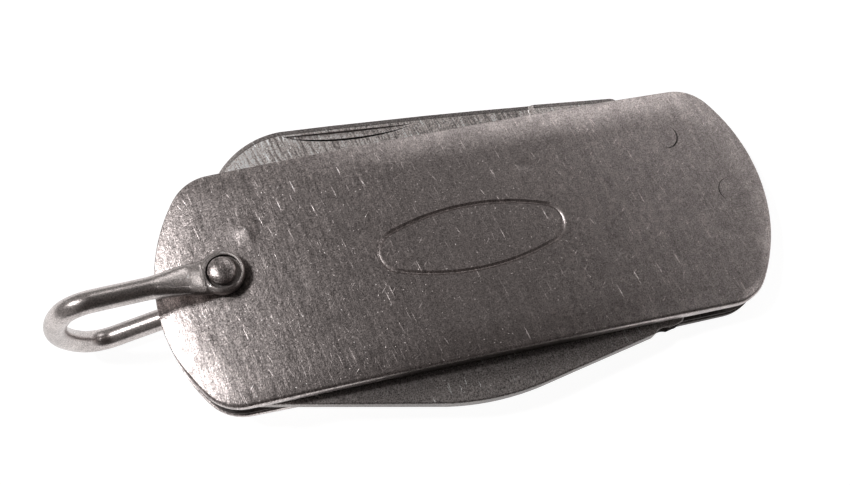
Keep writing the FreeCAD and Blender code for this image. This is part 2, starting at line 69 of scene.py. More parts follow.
scale_low, scale_high = box_mm("front_scale")
HALF_LENGTH = scale_high[0]
HALF_WIDTH = scale_high[1]
TOP = scale_high[2]
SEAT = scale_low[2]
MIDDLE = TOP / 2
END_RADIUS = 16.5
CORNER_RADIUS = 4.33
LAND_HALF = 5.0
END_WALL = 0.6
ARRIS = 0.4
RIM_WALL = 1.0
SHEET = 0.9
ARCH_RUN = HALF_LENGTH - LAND_HALF
ARCH_DROP = TOP - SEAT - END_WALL
ARCH_RADIUS = (ARCH_RUN ** 2 + ARCH_DROP ** 2) / (2 * ARCH_DROP)
CROWN_DROP = 0.3
CROWN_REACH = 3.2
CROWN_END_SHARE = 0.65
TIGHT_X, TIGHT_Y = 26.5, -9.0
TIGHT_SPREAD = 5.0
TIGHT_REACH = 0.7
FINE_ARRIS_SHARE = 0.3
FULL_ARRIS = (-4.0, -9.0)
ARRIS_TURNS = (18, 36, 54, 72, 90)
FOOT = 0.06
LEAST_HOLLOW = 0.05
QUARTER_POINTS = 90
FIELD_RINGS = 70
FIELD_CROWDING = 0.8

# The blank stamped oval in the middle of the front scale

OVAL_HALF_LENGTH = 9.0
OVAL_HALF_WIDTH = 3.2
OVAL_END_RADIUS = 2.0
OVAL_SHARES = (0.05, 0.25, 0.5, 0.75, 0.92, 1.0)
GROOVE_WIDTH = 0.46
GROOVE_DEPTH = 0.16
GROOVE_SECTION = ((-0.3, 0.6), (0.0, 1.0), (0.3, 0.6))

# Corners this close are one corner, faces this flat are one face, and slits this narrow are closed

SAME_PLACE = 0.0005
SAME_FACE = math.radians(0.5)
SLIT = 0.001


# Outlines


def smooth(value, low, high):
    """0 at low and 1 at high, smoothly."""
    share = np.clip((value - low) / (high - low), 0, 1)
    return share * share * (3 - 2 * share)


def arc(centre, radius, start, end, count=40):
    """Points along an arc, the turns in radians."""
    turn = np.linspace(start, end, count)
    return np.c_[centre[0] + radius * np.cos(turn), centre[1] + radius * np.sin(turn)]


def spaced(points, count):
    """The same line with this many even steps."""
    steps = np.r_[0, np.cumsum(np.linalg.norm(np.diff(points, axis=0), axis=1))]
    wanted = np.linspace(0, steps[-1], count + 1)
    return np.c_[np.interp(wanted, steps, points[:, 0]), np.interp(wanted, steps, points[:, 1])]


def four_quarters(quarter):
    """A whole outline from the quarter that runs from its end to the middle of its side."""
    left = quarter[-2::-1] * (-1, 1)
    below = quarter[1:] * (-1, -1)
    right = quarter[-2:0:-1] * (1, -1)
    return np.vstack([quarter, left, below, right])


def handle_outline(inset=0.0):
    """The handle's outline: arched ends, round corners and straight sides."""
    end_radius = END_RADIUS - inset
    corner_radius = CORNER_RADIUS - inset
    end_x = HALF_LENGTH - END_RADIUS
    corner_y = HALF_WIDTH - CORNER_RADIUS
    corner_x = end_x + math.sqrt((END_RADIUS - CORNER_RADIUS) ** 2 - corner_y ** 2)
    meet = math.atan2(corner_y, corner_x - end_x)
    quarter = np.vstack([
        arc((end_x, 0), end_radius, 0, meet),
        arc((corner_x, corner_y), corner_radius, meet, math.pi / 2)[1:],
        [(0, HALF_WIDTH - inset)],
    ])
    return four_quarters(spaced(quarter, QUARTER_POINTS))


def oval_outline(grow=0.0):
    """The stamped oval's outline: two end arcs and two long side arcs."""
    half_length = OVAL_HALF_LENGTH + grow
    half_width = OVAL_HALF_WIDTH + grow
    end_radius = OVAL_END_RADIUS + grow
    run = half_length - end_radius
    side_radius = (run ** 2 + half_width ** 2 - end_radius ** 2) / (2 * (half_width - end_radius))
    side_y = half_width - side_radius
    meet = math.atan2(-side_y, run)
    quarter = np.vstack([
        arc((run, 0), end_radius, 0, meet),
        arc((0, side_y), side_radius, meet, math.pi / 2)[1:],
    ])
    return four_quarters(spaced(quarter, QUARTER_POINTS))


# Mesh helpers


def moved_by(x, y, z=0.0):
    """The shift by these millimetres."""
    return Matrix.Translation((x * MM, y * MM, z * MM))


def new_piece(name, mesh, body, slot, *nodes):
    """Links a mesh as a piece that rides on a body and stands for these nodes."""
    piece = bpy.data.objects.new(name, mesh)
    bpy.context.scene.collection.objects.link(piece)
    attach(piece, body)
    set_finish(piece, slot)
    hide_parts(*nodes)
    return piece


def loft(name, rings):
    """A closed mesh through rings of points that all have the same count."""
    count = len(rings[0])
    corners = np.vstack(rings) * MM
    faces = [list(range(count)), [len(corners) - count + i for i in range(count)]]
    for ring in range(len(rings) - 1):
        low = ring * count
        high = low + count
        for i in range(count):
            j = (i + 1) % count
            faces.append([low + i, low + j, high + j, high + i])
    mesh = bpy.data.meshes.new(name)
    mesh.from_pydata(corners.tolist(), [], faces)
    return closed(mesh)


def closed(mesh):
    """Turns a closed mesh's faces outwards."""
    work = bmesh.new()
    work.from_mesh(mesh)
    bmesh.ops.recalc_face_normals(work, faces=work.faces)
    work.to_mesh(mesh)
    work.free()
    return mesh


def mended(mesh):
    """Joins corners that coincide, and closes the slits that tiny faces leave."""
    work = bmesh.new()
    work.from_mesh(mesh)
    bmesh.ops.remove_doubles(work, verts=work.verts, dist=SLIT * MM)
    bmesh.ops.dissolve_degenerate(work, edges=work.edges, dist=SLIT * MM)
    bmesh.ops.holes_fill(work, edges=[e for e in work.edges if e.is_boundary], sides=0)
    work.to_mesh(mesh)
    work.free()
    mesh.validate()
    return mesh


def soften(mesh, sharp_degrees=35):
    """Smooth shading that breaks at edges sharper than this."""
    mesh.shade_smooth()
    mesh.set_sharp_from_angle(angle=math.radians(sharp_degrees))


def with_modifier(mesh, kind, **settings):
    """A copy of the mesh with one modifier applied."""
    holder = bpy.data.objects.new("holder", mesh)
    bpy.context.scene.collection.objects.link(holder)
    modifier = holder.modifiers.new(kind, kind)
    for name, value in settings.items():
        setattr(modifier, name, value)
    graph = bpy.context.evaluated_depsgraph_get()
    made = bpy.data.meshes.new_from_object(holder.evaluated_get(graph))
    bpy.data.objects.remove(holder)
    return made


def flat_shaded(mesh):
    """A copy whose large faces look flat up to their rounded edges."""
    return with_modifier(mesh, "WEIGHTED_NORMAL", keep_sharp=True, weight=100)


def lathe(name, profile, count=48):
    """A closed mesh of (radius, height) points turned about Z."""
    turn = np.linspace(0, 2 * math.pi, count, endpoint=False)
    circle = np.c_[np.cos(turn), np.sin(turn)]
    rings = [np.c_[circle * radius, np.full(count, height)] for radius, height in profile]
    return loft(name, rings)


def without(mesh, cutter):
    """A copy of the mesh with a cutter mesh taken out of it."""
    tool = bpy.data.objects.new("cutter", cutter)
    bpy.context.scene.collection.objects.link(tool)
    made = with_modifier(mesh, "BOOLEAN", operation="DIFFERENCE", object=tool, solver="EXACT")
    bpy.data.objects.remove(tool)
    return made


def bevel_edges(work, edges, width, segments):
    """Rounds or chamfers these edges by this many millimetres."""
    bmesh.ops.bevel(work, geom=edges, offset=width * MM, segments=segments, profile=0.5,
                    affect="EDGES", clamp_overlap=False)


def sharp_edges(work, degrees):
    """The edges that turn by more than this."""
    return [e for e in work.edges if e.is_manifold and e.calc_face_angle() > math.radians(degrees)]


def node_copy(node, bevel):
    """A copy of a node's mesh, joined up, with worn edges."""
    mesh = frame["nodes"][node].data.copy()
    work = bmesh.new()
    work.from_mesh(mesh)
    bmesh.ops.remove_doubles(work, verts=work.verts, dist=SAME_PLACE * MM)
    bmesh.ops.dissolve_limit(work, angle_limit=SAME_FACE, verts=work.verts, edges=work.edges)
    bevel_edges(work, sharp_edges(work, 12), bevel, 2)
    work.to_mesh(mesh)
    work.free()
    mesh.materials.clear()
    soften(mesh, 50)
    return flat_shaded(mesh)


# Scales


def arch(x):
    """How far the arched face lies below the flat land, at this place along the handle."""
    run = np.maximum(np.abs(x) - LAND_HALF, 0)
    return ARCH_RADIUS - np.sqrt(ARCH_RADIUS ** 2 - run ** 2)


# Dings: each one's place, radius and depth

DINGS = [
    (-25.0, -4.5, 1.2, 0.03),
    (-8.5, -7.4, 1.0, 0.03),
    (6.6, 6.1, 1.2, 0.03),
    (13.5, -4.0, 1.4, 0.03),
    (25.4, -4.4, 1.3, 0.03),
]

# A burr near the bail: its crest, its reach to the left, to the right and across, and its height

BURR_X, BURR_Y = -20.3, 4.95
BURR_LEFT, BURR_RIGHT, BURR_ACROSS = 2.9, 0.6, 1.9
BURR_HEIGHT = 0.16
FADE = 4

HANDLE_EDGE = handle_outline()


def edge_gap(points):
    """How far each point lies inside the handle's outline."""
    return np.linalg.norm(points[:, None, :2] - HANDLE_EDGE[None], axis=2).min(axis=1)


def face_height(points):
    """Height of the front scale's face: arched, crowned towards its edge, dinged, and with its burr."""
    from_corner = np.hypot(points[:, 0] - TIGHT_X, points[:, 1] - TIGHT_Y) / TIGHT_SPREAD
    reach = CROWN_REACH - (CROWN_REACH - TIGHT_REACH) * np.exp(-from_corner ** 2)
    crown = CROWN_DROP * np.clip(1 - edge_gap(points) / reach, 0, 1) ** 2
    drop = arch(points[:, 0])
    drop = drop + crown * (1 - (1 - CROWN_END_SHARE) * drop / ARCH_DROP)
    for x, y, radius, depth in DINGS:
        away = np.hypot(points[:, 0] - x, points[:, 1] - y) / radius
        drop += depth * np.exp(-FADE * away ** 2)
    run = points[:, 0] - BURR_X
    run = run / np.where(run < 0, BURR_LEFT, BURR_RIGHT)
    across = (points[:, 1] - BURR_Y) / BURR_ACROSS
    return TOP - drop + BURR_HEIGHT * np.exp(-FADE * (run ** 2 + across ** 2))


def arris_radius(edge):
    """Radius of the rounded edge at each point: full along the lower side, fine elsewhere."""
    full = smooth(edge[:, 1:], *FULL_ARRIS)
    return ARRIS * (FINE_ARRIS_SHARE + (1 - FINE_ARRIS_SHARE) * full)


def scale_rings(stamped):
    """Rings of the front scale, from the middle of its face round its edge to its hollow."""
    edge = HANDLE_EDGE
    arris = arris_radius(edge)
    inward = (handle_outline(ARRIS) - edge) / ARRIS
    arris_line = edge + inward * arris
    inner = oval_outline(-GROOVE_WIDTH / 2)
    outer = oval_outline(GROOVE_WIDTH / 2)
    rings = []

    def add(points, lower=0.0):
        rings.append(np.c_[points, face_height(points) - lower])

    for share in OVAL_SHARES:
        add(inner * share)
    if stamped:
        for share, lower in GROOVE_SECTION:
            add(oval_outline(share * GROOVE_WIDTH), lower * GROOVE_DEPTH)
    for share in np.linspace(0, 1, FIELD_RINGS) ** FIELD_CROWDING:
        add(outer + (arris_line - outer) * share)
    face = rings[-1][:, 2]
    for turn in np.radians(ARRIS_TURNS):
        points = edge + inward * arris * (1 - math.sin(turn))
        rings.append(np.c_[points, face - arris[:, 0] * (1 - math.cos(turn))])
    rings.append(np.c_[edge, np.full(len(edge), SEAT + FOOT)])
    for inset, height in ((FOOT * 0.3, FOOT * 0.3), (FOOT, 0), (RIM_WALL, 0)):
        rings.append(np.c_[handle_outline(inset), np.full(len(edge), SEAT + height)])
    hollow = handle_outline(RIM_WALL)
    ceiling = np.maximum(TOP - arch(hollow[:, 0]) - SHEET, SEAT + LEAST_HOLLOW)
    rings.append(np.c_[hollow, ceiling])
    rings.append(np.c_[inner * OVAL_SHARES[0], np.full(len(edge), TOP - SHEET)])
    return rings


def pin_cutter(place, radius):
    """A rod through the whole handle at this place."""
    rod = lathe("rod", [(radius, -TOP), (radius, 2 * TOP)])
    rod.transform(moved_by(*place))
    return rod


def pin_place(node):
    """A pin's middle, across the knife."""
    low, high = box_mm(node)
    return (low + high)[:2] / 2


def turned_over(rings):
    """The same rings on the back of the knife."""
    return [ring * (1, 1, -1) + (0, 0, TOP) for ring in rings]


PIN_RADIUS = 1.25
PIN_POINTS = 64
PIN_SHARES = (0.1, 0.5, 0.8, 1.0)
BAIL_PIN_RADIUS = 0.9
GRIND_GAP = 0.004

# Each pin hole: its pin, its radius, and how far it is worn off the pin's middle

PIN_HOLES = [
    ("upper_pivot_pin", PIN_RADIUS - 0.03, (0.14, -0.1)),
    ("lower_pivot_pin", PIN_RADIUS + 0.002, (0.0, 0.0)),
    ("end_rivet", PIN_RADIUS - 0.04, (-0.12, 0.04)),
    ("bail_rivet", BAIL_PIN_RADIUS + 0.05, (0.0, 0.0)),
]

# Wear, and painted shade along the scales' lower walls and a painted shadow beside the bail's eye: how
# far they reach, each pair from where they start to where they are full

WEAR_REACH = 0.3
WALL_SHADE_GAP = (0.15, 0.05)
WALL_SHADE_ACROSS = (-7, -9)
FRONT_WALL_SHADE = [(-15, -8), (14, 6)]
BACK_WALL_SHADE = [(-14, 4)]
EYE_SHADOW_REACH = (3.2, 2.4)
EYE_SHADOW_TURN = math.radians(-30)
EYE_SHADOW_FADE = 0.8
bail_pin = pin_place("bail_rivet")


def worn_edges(mesh):
    """Stores how worn each corner of a scale is: full on its arris, none further in."""
    corners = np.array([v.co for v in mesh.vertices]) / MM
    wear = np.exp(-edge_gap(corners) / WEAR_REACH)
    attribute = mesh.attributes.new("wear", "FLOAT", "POINT")
    attribute.data.foreach_set("value", wear)


def shaded_corners(mesh, front):
    """Stores how much painted shade each corner of a scale gets: along its lower wall, and a painted
    shadow beside the bail's eye.
    """
    corners = np.array([v.co for v in mesh.vertices]) / MM
    x, y = corners[:, 0], corners[:, 1]
    wall = smooth(edge_gap(corners), *WALL_SHADE_GAP) * smooth(y, *WALL_SHADE_ACROSS)
    for ends in FRONT_WALL_SHADE if front else BACK_WALL_SHADE:
        wall *= smooth(x, *ends)
    # Painted shadow of the bail's eye, a crescent to its lower right
    away = np.hypot(x - bail_pin[0], y - bail_pin[1])
    turn = np.arctan2(y - bail_pin[1], x - bail_pin[0])
    facing = np.clip(np.cos(turn - EYE_SHADOW_TURN), 0, 1)
    beside = smooth(away, *EYE_SHADOW_REACH) * facing ** EYE_SHADOW_FADE
    attribute = mesh.attributes.new("painted_shade", "FLOAT", "POINT")
    attribute.data.foreach_set("value", np.maximum(wall, beside))


def make_scale(name, node, stamped):
    """One scale with its pin holes; the back one is the front one turned over."""
    rings = scale_rings(stamped)
    if node == "back_scale":
        rings = turned_over(rings)
    mesh = loft(name, rings)
    for pin, radius, shift in PIN_HOLES:
        mesh = without(mesh, pin_cutter(pin_place(pin) + shift, radius))
    soften(mesh)
    worn_edges(mesh)
    shaded_corners(mesh, node == "front_scale")
    return new_piece(name, mesh, "handle", "steel_scale", node)


def flush_pin(node):
    """A pin whose two ends are ground to the scales' own curved faces."""
    turn = np.linspace(0, 2 * math.pi, PIN_POINTS, endpoint=False)
    circle = np.c_[np.cos(turn), np.sin(turn)] * PIN_RADIUS
    rings = []
    for share in PIN_SHARES:
        points = pin_place(node) + circle * share
        rings.append(np.c_[points, face_height(points) - GRIND_GAP])
    rings += turned_over(rings[::-1])
    mesh = loft(node + "_ground", rings)
    soften(mesh)
    return new_piece(node + "_ground", mesh, "handle", "steel_pin", node)


front_scale = make_scale("front_scale_shell", "front_scale", True)
back_scale = make_scale("back_scale_shell", "back_scale", False)


# Bail

WIRE_RADIUS = 1.05
BAIL_REACH = 15.93
BAIL_END_RADIUS = 9.0
BAIL_CORNER_RADIUS = 2.9
BAIL_ARM_HALF = 3.6
BAIL_FAR_HALF = 6.05
BAIL_FAR_REACH = 11.6
BAIL_SPREAD = (BAIL_FAR_HALF - BAIL_ARM_HALF) / BAIL_FAR_REACH
BAIL_SWING = math.radians(5.6)
BAIL_POINTS = 28
BAIL_VOXEL = 0.1
BAIL_MELTING = 6
BEND_START = 3.4
BEND_END = 1.5
BORE_RADIUS = 0.95

# The bail's eyes: flat discs with rounded edges, which lie close to the arched scales

EYE_RADIUS = 2.05
EYE_THICKNESS = 1.3
EYE_LIFT = 0.07
eye_foot = MIDDLE - arch(np.array([-bail_pin[0] - EYE_RADIUS]))[0] + EYE_LIFT
EYE_MIDDLE = eye_foot + EYE_THICKNESS / 2
EYE_TOP = EYE_MIDDLE + EYE_THICKNESS / 2
EYE_EDGE = [(0.0, 0.3), (0.08, 0.1), (0.3, 0.0)]
EYE_HOLE = 0.2

# The recess in an eye, as radius beyond its own and height over its floor

RECESS_RADIUS = 1.6
RECESS_SHIFT = (0.12, -0.1)
RECESS_DEPTH = 0.4
RECESS_FLOOR = EYE_TOP - RECESS_DEPTH
RECESS = [(0.0, 0.0), (0.0, RECESS_DEPTH - 0.05), (0.12, RECESS_DEPTH + 0.1), (0.0, RECESS_DEPTH + 0.5)]

# The flattened stem: half width, half thickness and roundness at these reaches from the pin

WIDTH_REACH = (0, 1.4, 3.3, 4.6, 6.6)
HALF_WIDTHS = (1.8, 1.75, 1.48, 1.3, WIRE_RADIUS)
THICK_REACH = (0, 1.6, 3.4, 6.4)
HALF_THICKS = (0.6, 0.6, 0.70, WIRE_RADIUS)
ROUND_REACH = (3.4, 6.4)
ROUNDNESS = (0.75, 1.0)


def bail_line():
    """The bail's centre line as (reach, height off the middle plane), from its end to an eye."""
    tilt = math.hypot(1, BAIL_SPREAD)
    end_x = BAIL_REACH - BAIL_END_RADIUS
    gap = BAIL_END_RADIUS - BAIL_CORNER_RADIUS
    offset = BAIL_ARM_HALF - BAIL_CORNER_RADIUS * tilt
    cross = BAIL_SPREAD * offset - end_x
    rest = end_x ** 2 + offset ** 2 - gap ** 2
    corner_x = (math.sqrt(cross ** 2 - tilt ** 2 * rest) - cross) / tilt ** 2
    corner_z = offset + BAIL_SPREAD * corner_x
    meet = math.atan2(corner_z, corner_x - end_x)
    arm = math.atan2(1, -BAIL_SPREAD)
    bow = arc((end_x, 0), BAIL_END_RADIUS, 0, meet, 30)
    corner = arc((corner_x, corner_z), BAIL_CORNER_RADIUS, meet, arm, 24)[1:]
    straight = np.linspace(corner[-1][0], BEND_START, 40)[1:]
    arm_line = np.c_[straight, BAIL_ARM_HALF + BAIL_SPREAD * straight]
    bend = np.linspace(BEND_START, 0, 16)[1:]
    share = smooth(bend, BEND_END, BEND_START)
    arm_height = BAIL_ARM_HALF + BAIL_SPREAD * bend
    foot = np.c_[bend, EYE_MIDDLE + (arm_height - EYE_MIDDLE) * share]
    return np.vstack([bow, corner, arm_line, foot])


def bail_tube():
    """The whole bent wire as one tube, with its eyes' stems flattened."""
    half = bail_line()
    line = np.vstack([half[::-1] * (1, -1), half[1:]])
    along = np.gradient(line, axis=0)
    along /= np.linalg.norm(along, axis=1)[:, None]
    turn = np.linspace(0, 2 * math.pi, BAIL_POINTS, endpoint=False)
    rings = []
    for (reach, height), (run, rise) in zip(line, along):
        half_width = np.interp(reach, WIDTH_REACH, HALF_WIDTHS)
        half_thick = np.interp(reach, THICK_REACH, HALF_THICKS)
        roundness = np.interp(reach, ROUND_REACH, ROUNDNESS)
        side = half_width * np.sign(np.cos(turn)) * np.abs(np.cos(turn)) ** roundness
        out = half_thick * np.sign(np.sin(turn)) * np.abs(np.sin(turn)) ** roundness
        rings.append(np.c_[-(reach + out * rise), side, height - out * run])
    return loft("bail_tube", rings)


def bail_eye(side):
    """One flat eye, a disc with rounded edges, on this side of the handle."""
    half = EYE_THICKNESS / 2
    upper = [(EYE_RADIUS - inset, half - drop) for inset, drop in EYE_EDGE] + [(EYE_HOLE, half)]
    lower = [(radius, -height) for radius, height in upper[::-1]]
    disc = lathe("eye", lower + upper)
    disc.transform(moved_by(0, 0, side * EYE_MIDDLE))
    return disc


def make_bail():
    """The bail: tube and eyes melted into one forged shape, then the recesses and bore cut."""
    work = bmesh.new()
    for mesh in (bail_tube(), bail_eye(1), bail_eye(-1)):
        work.from_mesh(mesh)
    mesh = bpy.data.meshes.new("bail_parts")
    work.to_mesh(mesh)
    work.free()
    mesh = with_modifier(mesh, "REMESH", mode="VOXEL", voxel_size=BAIL_VOXEL * MM)
    mesh = with_modifier(mesh, "SMOOTH", factor=0.5, iterations=BAIL_MELTING)
    for side in (1, -1):
        cup = lathe("cup", [(RECESS_RADIUS + wider, RECESS_FLOOR + height) for wider, height in RECESS])
        cup.transform(Matrix.Diagonal((1, 1, side, 1)))
        cup.transform(moved_by(*RECESS_SHIFT))
        mesh = without(mesh, closed(cup))
    mesh = without(mesh, lathe("bore", [(BORE_RADIUS, -TOP), (BORE_RADIUS, TOP)]))
    swing = Matrix.Rotation(BAIL_SWING, 4, "Z")
    mesh.transform(moved_by(*bail_pin, MIDDLE) @ swing)
    soften(mesh, 40)
    return new_piece("bail_wire", mesh, "bail", "steel_bail", "bail")


bail = make_bail()


# Blades: the frame's own outlines, with their plunges, chamfers and nail nicks worked over

PEN_CHAMFER = 0.42
PEN_CHAMFER_FOOT = 0.6
PEN_CHAMFER_LIFT = 0.335
PEN_TIP_START = -10.0
PEN_TIP_RUN = 12.5
PEN_TIP_GROW = 0.3
LOWER_CHAMFER = 0.12
BACK_LINE = HALF_WIDTH - 0.6
WORN_EDGE = 0.05
TANG_HALF = 0.95
NOTCH_START = 15.2

# Each plunge: its place and the length of its ramp

PEN_PLUNGE = (9.8, 0.5)
LOWER_PLUNGE = (13.2, 6.0)

# Each nick: its two ends, width and depth, and the side of that line it lies on

PEN_NICK = ((-15.4, 14.65), (-2.4, 13.64), 1.1, 0.36, 1)
LOWER_NICK = ((-22.2, -10.6), (-16.6, -11.8), 1.0, 0.36, -1)
NICK_FACE = MIDDLE + 0.74
NICK_ABOVE = 0.5
NICK_STEPS = 41

# How dull the faces are, with the painted shade that the same marks give walls, recesses, the chamfer
# and the lower blade, and how far a face leans to count as standing or as part of the chamfer

PEN_DULL_SHADE = 0.0
LOWER_DULL_SHADE = 0.65
WALL_DULL_SHADE = 0.8
CHAMFER_DULL_SHADE = 0.7
LEAN = 0.3
GROUND_LEAN = -0.03
TANG_LEAN = 0.02


def towards_tip(corner):
    """The direction of a corner's edge that runs furthest towards the blade's tip."""
    ways = [(edge.other_vert(corner).co - corner.co).normalized() for edge in corner.link_edges]
    return min(ways, key=lambda way: way.x)


def plain_blade(node, plunge):
    """A blade without its nick: its back half and that half's mirror image, joined.

    The plunge is its place and the length of the ramp that takes the place of its step.
    """
    work = bmesh.new()
    work.from_mesh(frame["nodes"][node].data)
    bmesh.ops.remove_doubles(work, verts=work.verts, dist=SAME_PLACE * MM)
    bmesh.ops.bisect_plane(work, geom=work.verts[:] + work.edges[:] + work.faces[:],
                           plane_co=(0, 0, MIDDLE * MM), plane_no=(0, 0, 1), clear_outer=True)
    bmesh.ops.dissolve_limit(work, angle_limit=SAME_FACE, use_dissolve_boundaries=True,
                             verts=work.verts, edges=work.edges)
    bmesh.ops.mirror(work, geom=work.verts[:] + work.edges[:] + work.faces[:],
                     matrix=moved_by(0, 0, -MIDDLE), merge_dist=SLIT * MM, axis="Z")
    bmesh.ops.recalc_face_normals(work, faces=work.faces)
    plunge_x, ramp = plunge
    for corner in work.verts:
        x, _, z = corner.co / MM
        ground = abs(z - MIDDLE) < TANG_HALF - WORN_EDGE
        if abs(x - plunge_x) < WORN_EDGE and ground:
            corner.co += towards_tip(corner) * ramp * MM
    return work


def nick_cutter(start, end, width, depth, side):
    """A lens-shaped cut for a nail: a steep wall, a floor, and a slanted wall."""
    start, end = np.array(start), np.array(end)
    along = (end - start) / np.linalg.norm(end - start)
    inward = np.array((side * along[1], -side * along[0]))
    rings = []
    for share in np.linspace(0, 1, NICK_STEPS):
        swell = 4 * share * (1 - share)
        wide = width * swell ** 0.8 + 0.01
        deep = depth * swell ** 0.5 + 0.005
        wall = start + (end - start) * share
        foot = wall + inward * 0.08 * wide
        heel = wall + inward * 0.6 * wide
        rim = wall + inward * wide
        face = NICK_FACE
        rings.append(np.array([(*wall, face + NICK_ABOVE), (*wall, face), (*foot, face - 0.9 * deep),
                               (*heel, face - deep), (*rim, face), (*rim, face + NICK_ABOVE)]))
    return loft("nick", rings)


def chamfer_back(work, width):
    """Chamfers the front edge of a blade's back, where it stands out of the handle."""
    edges = []
    for edge in sharp_edges(work, 60):
        points = [corner.co / MM for corner in edge.verts]
        if all(abs(p.y) > BACK_LINE and p.z > MIDDLE for p in points):
            edges.append(edge)
    bevel_edges(work, edges, width, 1)
    work.normal_update()


def finished_blade(work, nick, face_dull_shade):
    """The blade's mesh with worn edges and its nick, each face marked with how dull it is and how much
    painted shade it gets.
    """
    bevel_edges(work, sharp_edges(work, 40), WORN_EDGE, 2)
    mesh = bpy.data.meshes.new("blade")
    work.to_mesh(mesh)
    work.free()
    mesh = mended(without(mesh, nick))
    # The dull marks stand for a duller grind and for painted shade: darker walls, near-black nick and
    # notch walls, and a darker lower blade
    dull = mesh.attributes.new("dull", "FLOAT", "FACE")
    for face, mark in zip(mesh.polygons, dull.data):
        outside = abs(face.center.y) > BACK_LINE * MM
        standing = abs(face.normal.z) < LEAN
        leaning = face.normal.z > LEAN and abs(face.normal.x) < LEAN and face.center.y > 0
        least_lean = GROUND_LEAN if face.center.x < PEN_PLUNGE[0] * MM else TANG_LEAN
        in_notch = standing and face.center.x > NOTCH_START * MM
        in_nick = leaning and face.normal.y > LEAN
        if outside and (in_notch or in_nick):
            mark.value = 1.0
        elif outside and leaning and face.normal.y > least_lean:
            mark.value = CHAMFER_DULL_SHADE
        elif standing:
            mark.value = WALL_DULL_SHADE
        else:
            mark.value = face_dull_shade
    soften(mesh, 14)
    return flat_shaded(mesh)


def make_pen_blade():
    """The upper blade: a slightly fuller tip, and a wide chamfer along its back."""
    work = plain_blade("pen_blade", PEN_PLUNGE)
    for corner in work.verts:
        reach = max(0.0, PEN_TIP_START - corner.co.x / MM) / PEN_TIP_RUN
        corner.co.x -= PEN_TIP_GROW * reach ** 2 * MM
    chamfer_back(work, PEN_CHAMFER)
    for corner in work.verts:
        on_wall = any(abs(face.normal.z) < 0.1 for face in corner.link_faces)
        at_foot = MIDDLE < corner.co.z / MM < MIDDLE + PEN_CHAMFER_FOOT
        if on_wall and at_foot and corner.co.y > BACK_LINE * MM:
            corner.co.z += PEN_CHAMFER_LIFT * MM
    mesh = finished_blade(work, nick_cutter(*PEN_NICK), PEN_DULL_SHADE)
    return new_piece("pen_blade_worn", mesh, "pen_blade", "steel_blade", "pen_blade")


def make_lower_blade():
    """The lower blade: a fine chamfer along its back, and a duller grind."""
    work = plain_blade("lower_blade", LOWER_PLUNGE)
    chamfer_back(work, LOWER_CHAMFER)
    mesh = finished_blade(work, nick_cutter(*LOWER_NICK), LOWER_DULL_SHADE)
    return new_piece("lower_blade_worn", mesh, "lower_blade", "steel_blade", "lower_blade")


pen_blade = make_pen_blade()
lower_blade = make_lower_blade()


# Spring and pins

SPRING_EDGE = 0.08
ARM_START = 12.0
ARM_NARROWING = 0.99


def make_spring():
    """The spring, its arms drawn in a little so that the open pen blade's tang stands clear of them."""
    mesh = node_copy("centre_spring", SPRING_EDGE)
    for corner in mesh.vertices:
        if corner.co.x > ARM_START * MM:
            corner.co.y *= ARM_NARROWING
    return new_piece("spring_plate", mesh, "handle", "steel_spring", "centre_spring")


spring = make_spring()
pins = [flush_pin(node) for node in ("upper_pivot_pin", "lower_pivot_pin", "end_rivet")]


# Bail rivet: a rod with a thick peened button on each end, as radius and height over the recess

BUTTON = [(0.92, 0.0), (1.2, 0.12), (1.31, 0.34), (1.31, 0.56), (1.25, 0.76), (1.08, 0.91), (0.8, 1.0),
          (0.4, 1.06), (0.05, 1.08)]


def make_bail_rivet():
    """The rivet that the bail turns on."""
    upper = [(radius, RECESS_FLOOR + height) for radius, height in BUTTON]
    lower = [(radius, -height) for radius, height in upper[::-1]]
    mesh = lathe("bail_rivet_peened", lower + upper, PIN_POINTS)
    mesh.transform(moved_by(*bail_pin, MIDDLE))
    soften(mesh, 60)
    return new_piece("bail_rivet_peened", mesh, "handle", "steel_pin", "bail_rivet")


pins.append(make_bail_rivet())


# Materials


def put(tree, value, socket):
    """Links a socket's value, or sets a plain number or colour."""
    if isinstance(value, bpy.types.NodeSocket):
        tree.links.new(value, socket)
    else:
        socket.default_value = value


def math_node(tree, operation, *values):
    """The result of a math node on up to three values."""
    node = tree.nodes.new("ShaderNodeMath")
    node.operation = operation
    for value, socket in zip(values, node.inputs):
        put(tree, value, socket)
    return node.outputs[0]


# Near-black for painted shade: where surfaces meet, along the scales' lower walls and beside the bail's
# eye
PAINTED_SHADE_TONE = (0.03, 0.024, 0.02, 1)


def shade(color, factor):
    """A colour made lighter or darker, kept under white."""
    return tuple(min(0.95, part * factor) for part in color[:3]) + (1,)


